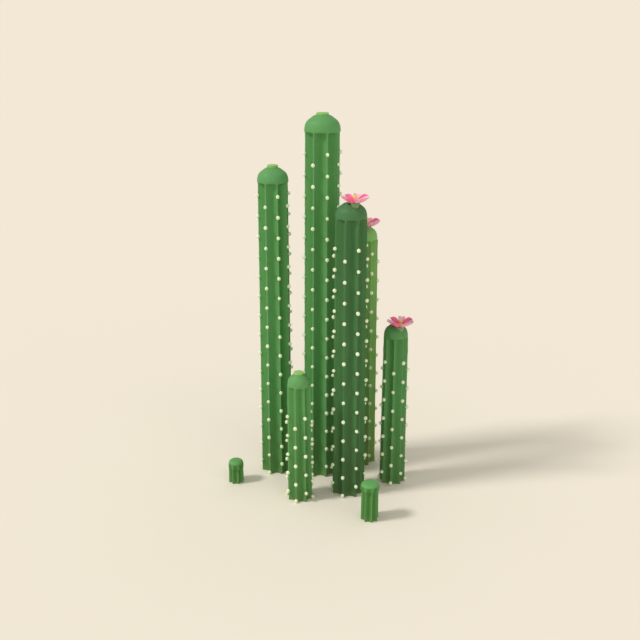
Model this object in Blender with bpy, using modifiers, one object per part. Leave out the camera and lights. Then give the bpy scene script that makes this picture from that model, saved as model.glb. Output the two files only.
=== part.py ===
"""A clump of upright ribbed cactus stems that share one root, in metres, +Z up.

The origin is the middle of the tallest stem's flat foot, at ground level. Every stem is a tapering
eight-ribbed column under a smooth rounded cap. Its areoles, the cushions that carry the spines, stand
on the rib crests in alternating rows. Three caps end in a growth tip and three carry a flower. Two
young shoots, with no areoles yet, stand in front. +X is the clump's right and -Y is its front.
"""

import math
from dataclasses import dataclass

import bmesh
import bpy
from mathutils import Matrix, Vector

COLLECTION = "saguaro_cactus"
GAP = 0.0003  # clearance between pieces that touch

# Ribs: one rib's section, as shares of the angle between two ribs and of the crest radius
RIBS = 8
PITCH = 2 * math.pi / RIBS
CREST_HALF = 0.105  # half the width of the blunt crest
FLANK_FOOT = 0.27  # where the flank meets the groove floor, from the crest's middle
FLANK_RADIUS = 0.795
FLOOR_RADIUS = 0.755

# Cap: a turned dome a little fuller than a ball
CAP_FULLNESS = 2.3  # exponent of the superellipse that the cap's profile follows
CAP_LEVELS = (0.0, 0.30, 0.56, 0.78, 0.93)  # heights of its rings, as shares of its own height
RIB_FADE = 0.10  # height over which the grooves close below the cap, over the cap's radius

# Areoles: low four-sided cushions, longer than wide, that keep to the crest
AREOLE_SPACING = 0.2307
AREOLE_HALF_LENGTH = 0.018
AREOLE_SHARE = 0.85  # half its width over half the crest's
AREOLE_PROUD = 0.017
AREOLE_ROOT = 0.006
AREOLE_SIDES = 4

# Growth tip: a low drum of closed buds on the crown, with a rounded edge
TIP_SIDES = 12
TIP_FOOT = -0.060  # its root, inside the cap
TIP_EDGE = ((0.96, TIP_FOOT), (1.0, -0.014), (0.94, -0.003), (0.72, 0.0))  # share of radius, level
TIP_CROWN = 0.0015  # how far the middle stands above the edge

# Flower: a floral tube, a ring of cupped petals on a receptacle, and a boss of stamens
PETALS = 7
PETAL_LENGTH = 0.150
PETAL_THICK = 0.003
PETAL_STATIONS = (0.12, 0.33, 0.62, 0.88)  # shares of its length
PETAL_WIDTHS = (0.014, 0.046, 0.073, 0.058)  # at those stations
PETAL_CUPS = (0.15, 0.36, 0.36, 0.18)  # how far the edges stand above the midrib, over the width
PETAL_RISE = 0.066  # how far the tips stand above the petals' roots
PETAL_SWEEP = 1.35  # exponent of the midrib's rise
TUBE_FOOT = -0.090  # its root, inside the cap
TUBE_EDGE = ((0.030, TUBE_FOOT), (0.033, -0.050), (0.041, -0.020), (0.044, 0.0))  # radius, level
FLOWER_SIDES = 10
RECEPTACLE_RADIUS = 0.040
RECEPTACLE_THICK = 0.008
BOSS_EDGE = ((0.013, 0.0), (0.019, 0.030), (0.027, 0.052), (0.019, 0.066))  # radius, level
BOSS_TOP = 0.071


@dataclass(frozen=True)
class Stem:
    """One stem: where it stands, its girth and height, and how its ribs and areoles are set."""

    x: float
    y: float
    lean: float  # how far its axis has moved to the right at the cap's lower edge
    foot: float  # crest radius at the ground
    neck: float  # crest radius under the cap
    rim: float  # height of the cap's lower edge
    cap: float  # radius of the cap
    cap_height: float
    turn: float  # bearing of the first rib, from the front towards the right, in degrees
    skin: tuple
    rows: int = 0  # areoles on each rib
    low: float = 0.0  # height of the lowest areole on the first rib, in areole spacings
    low_next: float = 0.0  # the same on the second rib

    def crest(self, level):
        """Crest radius at a height."""
        return self.foot + (self.neck - self.foot) * min(level / self.rim, 1.0)

    def axis(self, level):
        """The point of the stem's axis at a height."""
        return Vector((self.x + self.lean * level / self.rim, self.y, level))

    @property
    def top(self):
        """Height of the cap's top."""
        return self.rim + self.cap_height


MID_GREEN = (0.105, 0.265, 0.085)
DARK_GREEN = (0.055, 0.160, 0.058)
OLIVE_GREEN = (0.150, 0.290, 0.080)
YOUNG_GREEN = (0.120, 0.300, 0.095)
TIP_GREEN = (0.290, 0.520, 0.160)
TUBE_GREEN = (0.190, 0.330, 0.130)
PETAL_PINK = (0.850, 0.220, 0.380)
STAMEN_YELLOW = (0.900, 0.500, 0.090)

STEMS = {
    "tall_stem": Stem(
        0.0, 0.0, 0.009, 0.2156, 0.1951, 4.062, 0.1980, 0.1860, -28.1, MID_GREEN, 17, 0.13, 0.63
    ),
    "left_stem": Stem(
        -0.5378, 0.0439, 0.0, 0.1905, 0.1720, 3.511, 0.1740, 0.1640, -24.0, MID_GREEN, 15, 0.12, 0.62
    ),
    "front_stem": Stem(
        0.3106, -0.5097, 0.0, 0.1928, 0.1774, 3.226, 0.1700, 0.1625, -20.5, DARK_GREEN, 13, 0.11, 0.61
    ),
    "back_stem": Stem(
        0.4699, 0.2464, 0.0, 0.1928, 0.1774, 2.813, 0.1714, 0.1640, -10.8, OLIVE_GREEN, 12, 0.11, 0.61
    ),
    "right_stem": Stem(
        0.8398, -0.2618, 0.0, 0.1495, 0.1375, 1.816, 0.1353, 0.1448, -55.5, MID_GREEN, 7, 0.65, 0.15
    ),
    "short_stem": Stem(
        -0.2449, -0.6699, -0.012, 0.1448, 0.1332, 1.388, 0.1240, 0.1380, -18.3, MID_GREEN, 5, 0.13, 0.52
    ),
    "left_shoot": Stem(
        -1.0109, -0.3003, 0.0, 0.0905, 0.0875, 0.2250, 0.0885, 0.0630, -31.0, YOUNG_GREEN
    ),
    "right_shoot": Stem(
        0.5257, -1.1411, 0.0, 0.0985, 0.0955, 0.3720, 0.0965, 0.0840, -34.0, YOUNG_GREEN
    ),
}

# Growth tips: stem, radius, and height above the cap's top
TIPS = {
    "tall_stem": (0.0684, 0.021),
    "left_stem": (0.0600, 0.020),
    "short_stem": (0.0567, 0.020),
}

# Flowers: stem, then how far the top of the tube stands to the right of the stem's axis, in front of
# it and above the cap's top, and the bearing of the first petal
FLOWERS = {
    "front_stem": (0.0377, 0.0800, 0.007, 183.0),
    "back_stem": (0.0480, 0.0650, 0.003, 183.0),
    "right_stem": (0.0393, 0.0690, -0.006, 183.0),
}


def clear_scene():
    """Removes what the scene holds, so that only the cactus is left."""
    for obj in list(bpy.data.objects):
        bpy.data.objects.remove(obj, do_unlink=True)


def material(name, color, roughness):
    """A Principled material with a plain colour."""
    made = bpy.data.materials.new(name)
    made.use_nodes = True
    shader = made.node_tree.nodes["Principled BSDF"]
    shader.inputs["Base Color"].default_value = (*color, 1.0)
    shader.inputs["Roughness"].default_value = roughness
    shader.inputs["Metallic"].default_value = 0.0
    made.diffuse_color = (*color, 1.0)
    return made


def new_object(name, mesh_data, home):
    """Puts the mesh being edited into a new object in a collection."""
    bmesh.ops.recalc_face_normals(mesh_data, faces=mesh_data.faces)
    mesh = bpy.data.meshes.new(name)
    mesh_data.to_mesh(mesh)
    mesh_data.free()
    obj = bpy.data.objects.new(name, mesh)
    home.objects.link(obj)
    return obj


def finish(obj, skin):
    """Smooth shading with sharp edges kept, and the piece's own material."""
    obj.data.materials.clear()
    obj.data.materials.append(skin)
    obj.data.shade_smooth()
    obj.data.set_sharp_from_angle(angle=math.radians(35))
    return obj


def apply_modifiers(obj):
    """Replaces the object's mesh with its evaluated one."""
    graph = bpy.context.evaluated_depsgraph_get()
    mesh = bpy.data.meshes.new_from_object(obj.evaluated_get(graph))
    obj.modifiers.clear()
    old = obj.data
    obj.data = mesh
    bpy.data.meshes.remove(old)


def boolean_with(obj, others, operation):
    """Joins or cuts the object with every object in a list, then removes the list."""
    helpers = bpy.data.collections.new("helpers")
    bpy.context.scene.collection.children.link(helpers)
    for other in others:
        other.hide_render = True
        other.display_type = "WIRE"
        for home in list(other.users_collection):
            home.objects.unlink(other)
        helpers.objects.link(other)
    cut = obj.modifiers.new("join", "BOOLEAN")
    cut.operation = operation
    cut.operand_type = "COLLECTION"
    cut.collection = helpers
    cut.solver = "EXACT"
    apply_modifiers(obj)
    for other in list(helpers.objects):
        bpy.data.objects.remove(other, do_unlink=True)
    bpy.data.collections.remove(helpers)


def loft(rings, tip):
    """Joins rings of points, lowest first, into one mesh that closes in a flat foot and a point."""
    mesh = bmesh.new()
    rows = [[mesh.verts.new(point) for point in ring] for ring in rings]
    count = len(rows[0])
    mesh.faces.new(list(reversed(rows[0])))
    for low, high in zip(rows, rows[1:]):
        for i in range(count):
            j = (i + 1) % count
            mesh.faces.new((low[i], low[j], high[j], high[i]))
    crown = mesh.verts.new(tip)
    for i in range(count):
        mesh.faces.new((rows[-1][i], rows[-1][(i + 1) % count], crown))
    return mesh


def bearing_point(stem, bearing, radius, level):
    """A point around the stem's axis: bearing 0 is the front, and it grows towards the right."""
    return stem.axis(level) + radius * Vector((math.sin(bearing), -math.cos(bearing), 0.0))


def rib_section():
    """One turn of the rib section, as pairs of bearing and share of the crest radius."""
    section = (
        (-CREST_HALF, 1.0),
        (CREST_HALF, 1.0),
        (FLANK_FOOT, FLANK_RADIUS),
        (0.5, FLOOR_RADIUS),
        (1.0 - FLANK_FOOT, FLANK_RADIUS),
    )
    return [((rib + share) * PITCH, radius) for rib in range(RIBS) for share, radius in section]


def cap_radius(stem, share):
    """The cap's radius at a share of its height."""
    return stem.cap * (1.0 - share**CAP_FULLNESS) ** (1.0 / CAP_FULLNESS)


def stem_mesh(stem):
    """The ribbed column from its flat foot to the cap's lower edge, and the cap."""
    turn = math.radians(stem.turn)
    section = rib_section()
    fade = stem.rim - RIB_FADE * stem.cap
    rings = [
        [bearing_point(stem, turn + b, stem.crest(level) * share, level) for b, share in section]
        for level in (0.0, fade)
    ]
    for share in CAP_LEVELS:
        level = stem.rim + share * stem.cap_height
        radius = cap_radius(stem, share)
        rings.append([bearing_point(stem, turn + b, radius, level) for b, _ in section])
    return loft(rings, stem.axis(stem.top))


def cap_cutter(stem, home):
    """The cap alone, grown by the clearance: what seats on it is hollowed by this."""
    turn = math.radians(stem.turn)
    bearings = [b for b, _ in rib_section()]
    foot_level = stem.rim - RIB_FADE * stem.cap
    rings = [[bearing_point(stem, turn + b, stem.cap + GAP, foot_level) for b in bearings]]
    for share in CAP_LEVELS:
        level = stem.rim + share * stem.cap_height + GAP
        radius = cap_radius(stem, share) + GAP
        rings.append([bearing_point(stem, turn + b, radius, level) for b in bearings])
    mesh = loft(rings, stem.axis(stem.top + 2 * GAP))
    return new_object("cap_cutter", mesh, home)


def areole_levels(stem):
    """Every areole's bearing and height: neighbouring ribs are half a spacing apart."""
    turn = math.radians(stem.turn)
    for rib in range(RIBS):
        low = stem.low_next if rib % 2 else stem.low
        for row in range(stem.rows):
            yield turn + rib * PITCH, (low + row) * AREOLE_SPACING


def areole(stem, bearing, level, home):
    """A low cushion that stands out of the crest, its root sunk in the rib."""
    mesh = bmesh.new()
    depth = AREOLE_PROUD + AREOLE_ROOT
    grown = depth / AREOLE_PROUD
    bmesh.ops.create_cone(
        mesh, cap_ends=True, segments=AREOLE_SIDES, radius1=grown, radius2=0.0, depth=depth
    )
    half_crest = stem.crest(level) * math.sin(CREST_HALF * PITCH)
    size = Matrix.Diagonal((AREOLE_SHARE * half_crest, AREOLE_HALF_LENGTH, 1.0, 1.0))
    lift = Matrix.Translation((0, 0, depth / 2 - AREOLE_ROOT))
    out = Vector((math.sin(bearing), -math.cos(bearing), 0.0))
    along = Vector((math.cos(bearing), math.sin(bearing), 0.0))
    aim = Matrix((along, Vector((0, 0, 1)), out)).transposed().to_4x4()
    crest = bearing_point(stem, bearing, stem.crest(level) * math.cos(CREST_HALF * PITCH), level)
    mesh.transform(Matrix.Translation(crest) @ aim @ lift @ size)
    return new_object("areole", mesh, home)


def build_stem(name, stem, home):
    """A stem with its areoles joined to it."""
    obj = new_object(name, stem_mesh(stem), home)
    studs = [areole(stem, bearing, level, home) for bearing, level in areole_levels(stem)]
    if studs:
        boolean_with(obj, studs, "UNION")
    return finish(obj, material(f"{name}_skin", stem.skin, 0.55))


def turned(name, center, foot, edge, crown, sides, home):
    """A closed solid turned about an upright axis: its foot, edge and crown are levels off the centre."""
    mesh = bmesh.new()
    profile = [mesh.verts.new((radius, 0.0, level)) for radius, level in ((0.0, foot), *edge, (0.0, crown))]
    for low, high in zip(profile, profile[1:]):
        mesh.edges.new((low, high))
    obj = new_object(name, mesh, home)
    obj.location = center
    screw = obj.modifiers.new("turn", "SCREW")
    screw.steps = sides
    screw.render_steps = sides
    screw.use_merge_vertices = True
    screw.merge_threshold = 1e-5
    screw.use_normal_calculate = True
    apply_modifiers(obj)
    return obj


def build_tip(name, stem, radius, proud, home):
    """The growth tip: a low drum that fits over the crown of the cap."""
    edge = [(share * radius, level) for share, level in TIP_EDGE]
    obj = turned(name, stem.axis(stem.top + proud), TIP_FOOT, edge, TIP_CROWN, TIP_SIDES, home)
    boolean_with(obj, [cap_cutter(stem, home)], "DIFFERENCE")
    return finish(obj, material(f"{name}_green", TIP_GREEN, 0.6))


def petal_point(share, side, width, cup):
    """A point of a petal that lies along +X: a share of its length out, and to one side of its midrib."""
    level = PETAL_RISE * share**PETAL_SWEEP + abs(side) * cup * width
    return Vector((PETAL_LENGTH * share, side * width / 2, level))


def petal(center, bearing, home):
    """One petal as an open sheet, thickened, with its root inside the receptacle."""
    mesh = bmesh.new()
    rows = [
        [mesh.verts.new(petal_point(share, side, width, cup)) for side in (-1, 0, 1)]
        for share, width, cup in zip(PETAL_STATIONS, PETAL_WIDTHS, PETAL_CUPS)
    ]
    end = mesh.verts.new(petal_point(1.0, 0, 0.0, 0.0))
    for i in range(2):
        for low, high in zip(rows, rows[1:]):
            mesh.faces.new((low[i], high[i], high[i + 1], low[i + 1]))
        mesh.faces.new((rows[-1][i], end, rows[-1][i + 1]))
    mesh.transform(Matrix.Translation(center) @ Matrix.Rotation(bearing, 4, "Z"))
    obj = new_object("petal", mesh, home)
    shell = obj.modifiers.new("thickness", "SOLIDIFY")
    shell.thickness = PETAL_THICK
    shell.offset = 0.0
    apply_modifiers(obj)
    return obj


def build_flower(prefix, stem, right, front, lift, first, home):
    """The floral tube on the cap's shoulder, the ring of petals and the stamens, as three pieces."""
    seat = stem.axis(stem.top + lift) + Vector((right, -front, 0.0))
    tube = turned(f"{prefix}_tube", seat, TUBE_FOOT, TUBE_EDGE, 0.0, FLOWER_SIDES, home)
    boolean_with(tube, [cap_cutter(stem, home)], "DIFFERENCE")
    finish(tube, material(f"{prefix}_tube_green", TUBE_GREEN, 0.6))

    base = seat + Vector((0, 0, GAP))
    disc = ((RECEPTACLE_RADIUS, 0.0), (RECEPTACLE_RADIUS, RECEPTACLE_THICK))
    blossom = turned(f"{prefix}_petals", base, 0.0, disc, RECEPTACLE_THICK, FLOWER_SIDES, home)
    root = base + Vector((0, 0, PETAL_THICK))
    bearings = [math.radians(first) + 2 * math.pi * i / PETALS for i in range(PETALS)]
    boolean_with(blossom, [petal(root, bearing, home) for bearing in bearings], "UNION")
    finish(blossom, material(f"{prefix}_petals_pink", PETAL_PINK, 0.5))

    crown = base + Vector((0, 0, RECEPTACLE_THICK + GAP))
    stamens = turned(f"{prefix}_stamens", crown, 0.0, BOSS_EDGE, BOSS_TOP, FLOWER_SIDES, home)
    finish(stamens, material(f"{prefix}_stamens_yellow", STAMEN_YELLOW, 0.6))


def main():
    clear_scene()
    home = bpy.data.collections.new(COLLECTION)
    bpy.context.scene.collection.children.link(home)
    for name, stem in STEMS.items():
        build_stem(name, stem, home)
    for name, (radius, proud) in TIPS.items():
        build_tip(name.replace("stem", "growth_tip"), STEMS[name], radius, proud, home)
    for name, placing in FLOWERS.items():
        build_flower(name.replace("stem", "flower"), STEMS[name], *placing, home)


main()
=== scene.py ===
"""Dresses the clump of upright ribbed cactus stems: skins, areoles, spines, growth tips and flowers.

Sizes are in metres, +Z is up, and the origin is the middle of the tallest stem's foot. Every piece
keeps its place in its mesh and rides on the one rooted body.
"""

import sys
import logging
import math
import random
from collections.abc import Iterable, Iterator, Sequence
from dataclasses import dataclass, replace
from enum import Enum
from functools import cache, partialmethod

import bmesh
import bpy
import numpy as np
from bpy.types import Material, Mesh, Node, NodeSocket, NodeTree, Object
from mathutils import Matrix, Vector


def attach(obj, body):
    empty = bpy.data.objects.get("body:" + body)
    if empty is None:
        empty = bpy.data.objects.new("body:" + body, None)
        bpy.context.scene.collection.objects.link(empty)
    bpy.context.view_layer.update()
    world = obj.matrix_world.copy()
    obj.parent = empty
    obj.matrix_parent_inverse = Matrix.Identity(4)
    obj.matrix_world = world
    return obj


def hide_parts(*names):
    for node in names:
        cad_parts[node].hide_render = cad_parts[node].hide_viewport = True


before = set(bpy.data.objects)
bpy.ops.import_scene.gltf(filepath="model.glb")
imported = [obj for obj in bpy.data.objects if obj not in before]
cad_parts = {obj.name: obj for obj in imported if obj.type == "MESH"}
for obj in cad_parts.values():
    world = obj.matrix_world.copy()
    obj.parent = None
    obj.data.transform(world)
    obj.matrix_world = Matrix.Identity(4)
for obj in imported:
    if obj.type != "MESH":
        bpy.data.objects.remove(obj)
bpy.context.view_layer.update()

Color = tuple[float, float, float]
Span = tuple[float, float]

LOG = logging.getLogger("cactus")
ROOT_BODY = "root"
UP = Vector((0.0, 0.0, 1.0))
WHITE = (1.0, 1.0, 1.0, 1.0)
GOLDEN_ANGLE = math.radians(137.508)

# Half a rib's section, from the crest's middle to the groove's: pairs of a share of the angle
# between two ribs and a share of the crest's radius
RIBS = 8
PITCH = 2 * math.pi / RIBS
SECTION = (
    (0.0, 1.0), (0.03, 0.993), (0.06, 0.964), (0.09, 0.926), (0.13, 0.886), (0.19, 0.843),
    (0.27, 0.802), (0.38, 0.768), (0.5, 0.755),
)
# A column's grid: its columns to a rib, the height of a body row, the rows over which the grooves
# close, whose height is a share of the cap's radius, the rows of the cap, and how near points weld
COLUMNS_PER_RIB = 32
ROW_STEP = 0.030
CLOSING_ROWS = 6
CLOSING_SHARE = 0.10
CAP_ROWS = 14
WELD = 0.00005
# A cap's form: the fullness of its curve on stems and on shoots, the cut at its shoulder, how far
# the ribs run on over it, and where and how fast a shoot's cap takes the cap colour, its painted top
# light. Places and reaches are shares of the way from the rim to the crown
CAP_FULLNESS = 2.3
SHOOT_FULLNESS = 4.0
SHOULDER_CUT = 0.08
SHOULDER_PLACE = 0.57
SHOULDER_REACH = 0.13
RIBS_RUN_ON = 0.014
COLLAR_PLACE = 0.20
COLLAR_RATE = 9.0
# Areoles: how far apart on a crest, and where they sit on it
AREOLE_SPACING = 0.2307
AREOLE_DROP = 0.0030
AREOLE_PROUD = 0.007
CREST_FLAT = 0.9966
# The skin swells under an areole, by a height and over a reach across the ribs and one up the crest,
# and waves all over, by noise that is read on a drum
SWELLING = 0.003
SWELLING_ACROSS = 0.11
SWELLING_UP = 0.036
WAVINESS = 0.002
WAVE_SCALE = 2.2
WAVE_DRUM = 0.5
# Mottle and grain: the share of the broad noise, and the scale of the coarse noise to the fine
BROAD_SHARE = 0.6
COARSE_SCALE = 0.22
# How often the corners of a turned piece's profile are cut
CORNER_CUTS = 2


class Tone(Enum):
    """The two tones of a flower's petals, each known by its first letter."""

    LIGHT = "light"
    DEEP = "deep"


class Item(Enum):
    """What a scatter tree sets on its points."""

    CUSHION = "cushion"
    SPINE = "spine"


class Kind(Enum):
    """The two kinds of node group."""

    GEOMETRY = "GeometryNodeTree"
    SHADER = "ShaderNodeTree"


def linear(color: Color) -> tuple[float, float, float, float]:
    """A display colour as a linear colour with alpha.

    Args:
        color: red, green and blue, each from 0 to 255.

    Returns:
        The linear parts from 0 to 1, and 1 for alpha.
    """
    parts = np.array(color) / 255.0
    low = parts / 12.92
    high = ((parts + 0.055) / 1.055) ** 2.4
    return (*(float(v) for v in np.where(parts <= 0.04045, low, high)), 1.0)


def outward(turn: float) -> Vector:
    """The level direction at an angle from +X."""
    return Vector((math.cos(turn), math.sin(turn), 0.0))


def staggered(count: int, row: int) -> Iterator[Vector]:
    """Level directions evenly all round, with each next row turned by half a step."""
    return (outward(2 * math.pi * (i + row / 2) / count) for i in range(count))


# ---------- node trees


class Graph:
    """Adds nodes to one tree and links them."""

    def __init__(self, tree: NodeTree) -> None:
        """Keeps the tree that the nodes go into, which has no Group Input yet."""
        self.tree = tree
        self.entry: Node | None = None

    @staticmethod
    def pick(sockets: Sequence[NodeSocket], key: int | str) -> NodeSocket:
        """The socket at a place, or the enabled one with a name."""
        named = (socket for socket in sockets if socket.name == key and socket.enabled)
        return sockets[key] if isinstance(key, int) else next(named)

    def node(self, kind: str, inputs: dict | None = None, **settings: object) -> Node:
        """Adds a node.

        Args:
            kind: Blender's name for the node type.
            inputs: a constant, node, socket or Field for each input, by name or place.
            **settings: the node's own properties.

        Returns:
            The new node.
        """
        made = self.tree.nodes.new(kind)
        for key, value in settings.items():
            setattr(made, key, value)
        for key, value in (inputs or {}).items():
            self.feed(self.pick(made.inputs, key), value)
        return made

    def feed(self, socket: NodeSocket, value: object) -> None:
        """Gives an input its value.

        Args:
            socket: the input.
            value: a Field, a socket or a node's first output to link, or a constant.
        """
        source = value.socket if isinstance(value, Field) else value
        source = source.outputs[0] if isinstance(source, Node) else source
        if isinstance(source, NodeSocket):
            self.tree.links.new(source, socket)
        else:
            socket.default_value = source

    def field(
        self, kind: str, inputs: dict | None = None, out: int | str = 0, **settings: object
    ) -> "Field":
        """Adds a node and returns one of its outputs as a Field."""
        made = self.node(kind, inputs, **settings)
        return Field(self, self.pick(made.outputs, out))

    def given(self, name: str) -> "Field":
        """One of the node group's own inputs."""
        return Field(self, self.pick(self.entry.outputs, name))

    def vector(self, x: object, y: object, z: object) -> Node:
        """Three values as a vector."""
        return self.node("ShaderNodeCombineXYZ", {0: x, 1: y, 2: z})

    def attribute(self, name: str) -> "Field":
        """A value that the piece's own points carry."""
        return self.field("ShaderNodeAttribute", out="Fac", attribute_name=name)

    def spot(self) -> NodeSocket:
        """The place on the piece, in its own coordinates."""
        return self.node("ShaderNodeTexCoord").outputs["Object"]

    def noise(self, spot: object, scale: object, detail: float = 2.0) -> "Field":
        """Smooth noise from 0 to 1."""
        return self.field("ShaderNodeTexNoise", {"Vector": spot, "Scale": scale, "Detail": detail})

    def blended(self, first: object, second: object, share: object) -> NodeSocket:
        """One colour moved a share of the way to another."""
        made = self.node("ShaderNodeMix", {"Factor": share, "A": first, "B": second}, data_type="RGBA")
        return self.pick(made.outputs, "Result")


class Field:
    """A value that changes over a shape. Arithmetic on it adds Math nodes to its tree."""

    def __init__(self, graph: Graph, socket: NodeSocket) -> None:
        """Keeps the output socket that gives the value."""
        self.graph = graph
        self.socket = socket

    def math(self, operation: str, *others: object, clamp: bool = False) -> "Field":
        """Adds one Math node that takes this value first."""
        inputs = dict(enumerate((self, *others)))
        return self.graph.field("ShaderNodeMath", inputs, operation=operation, use_clamp=clamp)

    __add__ = partialmethod(math, "ADD")
    __sub__ = partialmethod(math, "SUBTRACT")
    __mul__ = partialmethod(math, "MULTIPLY")
    __truediv__ = partialmethod(math, "DIVIDE")
    __pow__ = partialmethod(math, "POWER")

    def __rsub__(self, other: object) -> "Field":
        """Another value less this one."""
        return (self * -1.0) + other

    def clamped(self) -> "Field":
        """This value kept between 0 and 1."""
        return self.math("ADD", 0.0, clamp=True)

    def from_middle(self) -> "Field":
        """Distance from the nearest whole number."""
        return ((self + 0.5).math("FRACT") - 0.5).math("ABSOLUTE")

    def bell(self, width: object) -> "Field":
        """A smooth bump of height 1 round zero."""
        ratio = self / width
        return (ratio * ratio * -1.0).math("EXPONENT")

    def eased(self) -> "Field":
        """Slow start and end between 0 and 1."""
        return self * self * (self * -2.0 + 3.0)

    def toward(self, other: object, share: object) -> "Field":
        """This value moved a share of the way to another."""
        return self + (self * -1.0 + other) * share


def new_group(kind: Kind, name: str, inputs: dict[str, object], outputs: dict[str, str]) -> Graph:
    """Starts a node group.

    Args:
        kind: what the group is for.
        name: its name.
        inputs: each named input and its default, or its socket's type where it has no default.
        outputs: each named output and its socket's type.

    Returns:
        The group's graph, with its Group Input.
    """
    types = {int: "NodeSocketInt", float: "NodeSocketFloat", tuple: "NodeSocketColor"}
    tree = bpy.data.node_groups.new(name, kind.value)
    for label, default in inputs.items():
        typed = types.get(type(default), default)
        socket = tree.interface.new_socket(name=label, in_out="INPUT", socket_type=typed)
        if typed is not default:
            socket.default_value = default
    for label, typed in outputs.items():
        tree.interface.new_socket(name=label, in_out="OUTPUT", socket_type=typed)
    graph = Graph(tree)
    graph.entry = graph.node("NodeGroupInput")
    return graph


def new_tree(name: str, inputs: dict[str, object]) -> Graph:
    """Starts a Geometry Nodes tree with a geometry, named sizes and a material as its inputs."""
    sockets = {"Geometry": "NodeSocketGeometry", **inputs, "Material": "NodeSocketMaterial"}
    return new_group(Kind.GEOMETRY, name, sockets, {"Geometry": "NodeSocketGeometry"})


def end_tree(graph: Graph, geometry: Node) -> NodeTree:
    """Ends a tree in smooth shading, realized instances and its material.

    Args:
        graph: the tree's graph.
        geometry: the node that gives what the tree has made.

    Returns:
        The finished tree.
    """
    smooth = graph.node("GeometryNodeSetShadeSmooth", {"Geometry": geometry})
    real = graph.node("GeometryNodeRealizeInstances", {"Geometry": smooth})
    inputs = {"Geometry": real, "Material": graph.given("Material")}
    painted = graph.node("GeometryNodeSetMaterial", inputs)
    graph.node("NodeGroupOutput", {"Geometry": painted})
    return graph.tree


@cache
def column_tree() -> NodeTree:
    """The tree that makes a ribbed column and its cap from a stem's sizes.

    Rows of a grid run up the stem: a pole, the foot, the body, the closing of the grooves, the cap.

    Returns:
        The Geometry Nodes tree.
    """
    graph = new_tree(
        "Ribbed column",
        {
            "Body Rows": 100, "Across": 0.0, "Along": 0.0, "Lean": 0.0, "Foot Radius": 0.2,
            "Neck Radius": 0.19, "Rim Height": 4.0, "Cap Radius": 0.19, "Cap Height": 0.18,
            "Cap Fullness": CAP_FULLNESS, "Collar": 0.0, "Shoulder": SHOULDER_CUT, "Turn": 0.0,
            "Lowest Areole": 0.1, "Next Lowest Areole": 0.6, "Swelling": SWELLING,
            "Waviness": WAVINESS,
        },
    )
    size = graph.given
    body_rows = size("Body Rows")
    rows = body_rows + (2 + CLOSING_ROWS + CAP_ROWS)
    counts = {"Vertices X": RIBS * COLUMNS_PER_RIB + 1, "Vertices Y": rows}
    geometry = graph.node("GeometryNodeMeshGrid", {"Size X": 1.0, "Size Y": 1.0, **counts})
    place = graph.node("ShaderNodeSeparateXYZ", {0: graph.node("GeometryNodeInputPosition")})
    round_share = Field(graph, place.outputs[0]) + 0.5
    row = (Field(graph, place.outputs[1]) + 0.5) * (rows - 1.0)

    body = ((row - 1.0) / body_rows).clamped()
    closing = ((row - 1.0 - body_rows) / CLOSING_ROWS).clamped()
    over = ((row - 1.0 - body_rows - CLOSING_ROWS) / CAP_ROWS).clamped()
    quarter = over * (math.pi / 2)
    fade = size("Cap Radius") * CLOSING_SHARE
    bend = (size("Cap Fullness") * 0.5) ** -1.0
    rise = quarter.math("SINE") ** bend
    level = body * (size("Rim Height") - fade) + closing * fade + rise * size("Cap Height")

    from_crest = (round_share * RIBS).from_middle()
    curve = graph.node("ShaderNodeFloatCurve", {"Value": from_crest * 2.0})
    points = curve.mapping.curves[0].points
    points[0].location = (0.0, SECTION[0][1])
    points[1].location = (1.0, SECTION[-1][1])
    for share, ring in SECTION[1:-1]:
        points.new(share * 2, ring)
    curve.mapping.update()
    section = Field(graph, curve.outputs[0])

    up_stem = (level / size("Rim Height")).math("MINIMUM", 1.0)
    crest = size("Foot Radius").toward(size("Neck Radius"), up_stem)
    bearing = round_share * (2 * math.pi) + size("Turn")
    sine, cosine = bearing.math("SINE"), bearing.math("COSINE")

    rib = (round_share * RIBS + 0.5).math("FLOOR")
    low = size("Lowest Areole").toward(size("Next Lowest Areole"), rib.math("MODULO", 2.0))
    from_areole = (level / AREOLE_SPACING - low).from_middle() * AREOLE_SPACING
    on_crest = from_crest.bell(SWELLING_ACROSS)
    swelling = from_areole.bell(SWELLING_UP) * on_crest * size("Swelling") * (1.0 - closing)
    drum = graph.vector(sine * WAVE_DRUM + size("Across"), cosine * WAVE_DRUM, level)
    noise = graph.noise(drum, WAVE_SCALE)
    wave = (noise - 0.5) * 2.0 * size("Waviness") * (1.0 - closing)

    ridge = 1.0 - (1.0 - section) * RIBS_RUN_ON * (1.0 - over)
    shoulder = 1.0 - (over - SHOULDER_PLACE).bell(SHOULDER_REACH) * size("Shoulder")
    cap_ring = size("Cap Radius") * quarter.math("COSINE") ** bend * ridge * shoulder
    column = crest * section + swelling + wave
    radius = column.toward(cap_ring, closing.eased()) * row.clamped()
    leaning = size("Across") + size("Lean") * level / size("Rim Height")
    position = graph.vector(leaning + radius * sine, size("Along") - radius * cosine, level)

    # The "crest" mask places the skin's painted crest highlight and groove shade, the "cap" mask its
    # painted top light
    floor_share = SECTION[-1][1]
    height = ((section - floor_share) * (1.0 / (1.0 - floor_share))).clamped()
    crown = closing.toward(((over - COLLAR_PLACE) * COLLAR_RATE).clamped(), size("Collar"))
    for name, value in (("crest", height), ("cap", crown)):
        inputs = {"Geometry": geometry, "Name": name, "Value": value}
        store = "GeometryNodeStoreNamedAttribute"
        geometry = graph.node(store, inputs, data_type="FLOAT", domain="POINT")
    shaped = graph.node("GeometryNodeSetPosition", {"Geometry": geometry, "Position": position})
    closed = graph.node("GeometryNodeMergeByDistance", {"Geometry": shaped, "Distance": WELD})
    return end_tree(graph, closed)


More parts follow.
